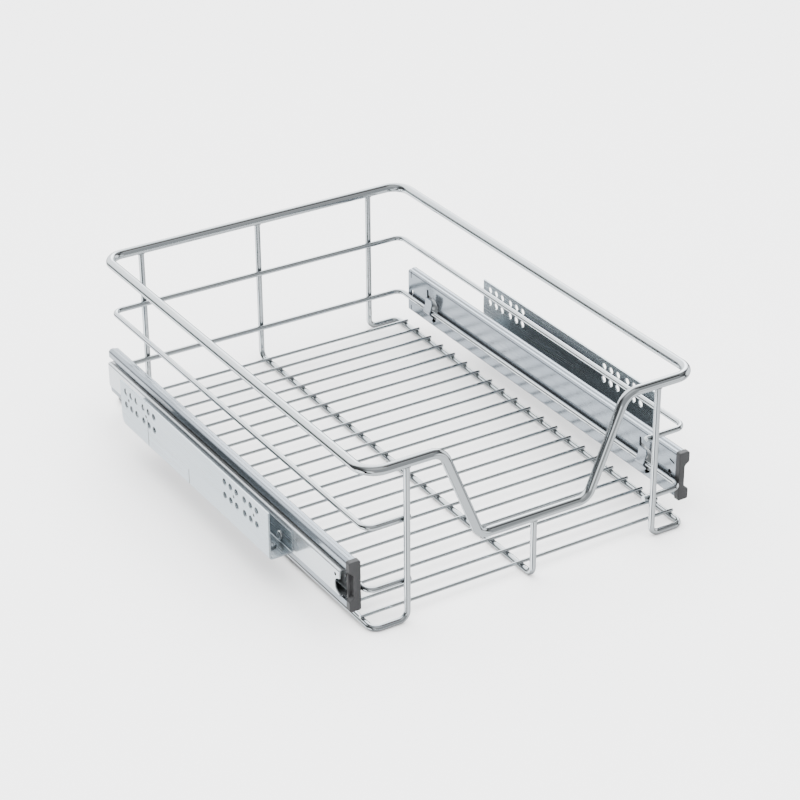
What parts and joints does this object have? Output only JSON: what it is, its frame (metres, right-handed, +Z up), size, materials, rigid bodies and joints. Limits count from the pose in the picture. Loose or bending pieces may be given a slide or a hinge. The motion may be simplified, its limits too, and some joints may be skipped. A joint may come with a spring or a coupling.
{
  "type": "pull-out cabinet basket",
  "caption": "Chromed wire basket with a dipped front rim on ball-bearing runners whose side brackets screw to the walls of a kitchen cabinet.",
  "frame": {"origin": "on the plane of the lowest wires, under the middle of the basket and of its side brackets", "axes": "+Z up, +Y to the back of the cabinet, the basket pulls out towards -Y, +X to the right seen from the front"},
  "size_m": [0.36, 0.438, 0.14],
  "materials": {
    "basket_chrome": "bright chrome plate on steel wire",
    "runner_zinc": "bright zinc plate on cold-rolled sheet",
    "bracket_zinc": "bright zinc plate on folded sheet",
    "rivet_steel": "zinc plate",
    "ball_steel": "polished bearing steel",
    "cap_grey_plastic": "moulded, fine satin texture",
    "cage_black_plastic": "moulded"
  },
  "bodies": {
    "cabinet_side": {"left_side_bracket": "bracket_zinc", "left_bracket_rivets": "rivet_steel", "left_cabinet_rail": "runner_zinc", "right_side_bracket": "bracket_zinc", "right_bracket_rivets": "rivet_steel", "right_cabinet_rail": "runner_zinc"},
    "basket": {"top_rim": "basket_chrome", "middle_guard_loop": "basket_chrome", "lower_guard_loop": "basket_chrome", "left_frame_wire": "basket_chrome", "right_frame_wire": "basket_chrome", "centre_frame_wire": "basket_chrome", "floor_wire_01": "basket_chrome", "floor_wire_02": "basket_chrome", "floor_wire_03": "basket_chrome", "floor_wire_04": "basket_chrome", "floor_wire_05": "basket_chrome", "floor_wire_06": "basket_chrome", "floor_wire_07": "basket_chrome", "floor_wire_08": "basket_chrome", "floor_wire_09": "basket_chrome", "floor_wire_10": "basket_chrome", "floor_wire_11": "basket_chrome", "floor_wire_12": "basket_chrome", "floor_wire_13": "basket_chrome", "floor_wire_14": "basket_chrome", "floor_wire_15": "basket_chrome", "floor_wire_16": "basket_chrome", "floor_wire_17": "basket_chrome", "floor_wire_18": "basket_chrome", "floor_wire_19": "basket_chrome", "floor_wire_20": "basket_chrome", "floor_wire_21": "basket_chrome", "left_drawer_rail": "runner_zinc", "left_end_cap": "cap_grey_plastic", "right_drawer_rail": "runner_zinc", "right_end_cap": "cap_grey_plastic"},
    "left_intermediate": {"left_intermediate_rail": "runner_zinc"},
    "left_cabinet_cage": {"left_cabinet_ball_cage": "cage_black_plastic", "left_cabinet_balls": "ball_steel"},
    "left_drawer_cage": {"left_drawer_ball_cage": "cage_black_plastic", "left_drawer_balls": "ball_steel"},
    "right_intermediate": {"right_intermediate_rail": "runner_zinc"},
    "right_cabinet_cage": {"right_cabinet_ball_cage": "cage_black_plastic", "right_cabinet_balls": "ball_steel"},
    "right_drawer_cage": {"right_drawer_ball_cage": "cage_black_plastic", "right_drawer_balls": "ball_steel"}
  },
  "joints": [
    {"name": "basket_slide", "type": "slide", "parent": "cabinet_side", "child": "basket", "axis": [0, -1, 0], "range_m": [0, 0.38]},
    {"name": "left_intermediate_slide", "type": "slide", "parent": "cabinet_side", "child": "left_intermediate", "axis": [0, -1, 0], "range_m": [0, 0.19]},
    {"name": "left_cabinet_cage_slide", "type": "slide", "parent": "cabinet_side", "child": "left_cabinet_cage", "axis": [0, -1, 0], "range_m": [0, 0.095]},
    {"name": "left_drawer_cage_slide", "type": "slide", "parent": "cabinet_side", "child": "left_drawer_cage", "axis": [0, -1, 0], "range_m": [0, 0.285]},
    {"name": "right_intermediate_slide", "type": "slide", "parent": "cabinet_side", "child": "right_intermediate", "axis": [0, -1, 0], "range_m": [0, 0.19]},
    {"name": "right_cabinet_cage_slide", "type": "slide", "parent": "cabinet_side", "child": "right_cabinet_cage", "axis": [0, -1, 0], "range_m": [0, 0.095]},
    {"name": "right_drawer_cage_slide", "type": "slide", "parent": "cabinet_side", "child": "right_drawer_cage", "axis": [0, -1, 0], "range_m": [0, 0.285]}
  ],
  "couplings": [
    {"joint": "left_intermediate_slide", "follows": "basket_slide", "ratio": 0.5},
    {"joint": "left_cabinet_cage_slide", "follows": "basket_slide", "ratio": 0.25},
    {"joint": "left_drawer_cage_slide", "follows": "basket_slide", "ratio": 0.75},
    {"joint": "right_intermediate_slide", "follows": "basket_slide", "ratio": 0.5},
    {"joint": "right_cabinet_cage_slide", "follows": "basket_slide", "ratio": 0.25},
    {"joint": "right_drawer_cage_slide", "follows": "basket_slide", "ratio": 0.75}
  ]
}
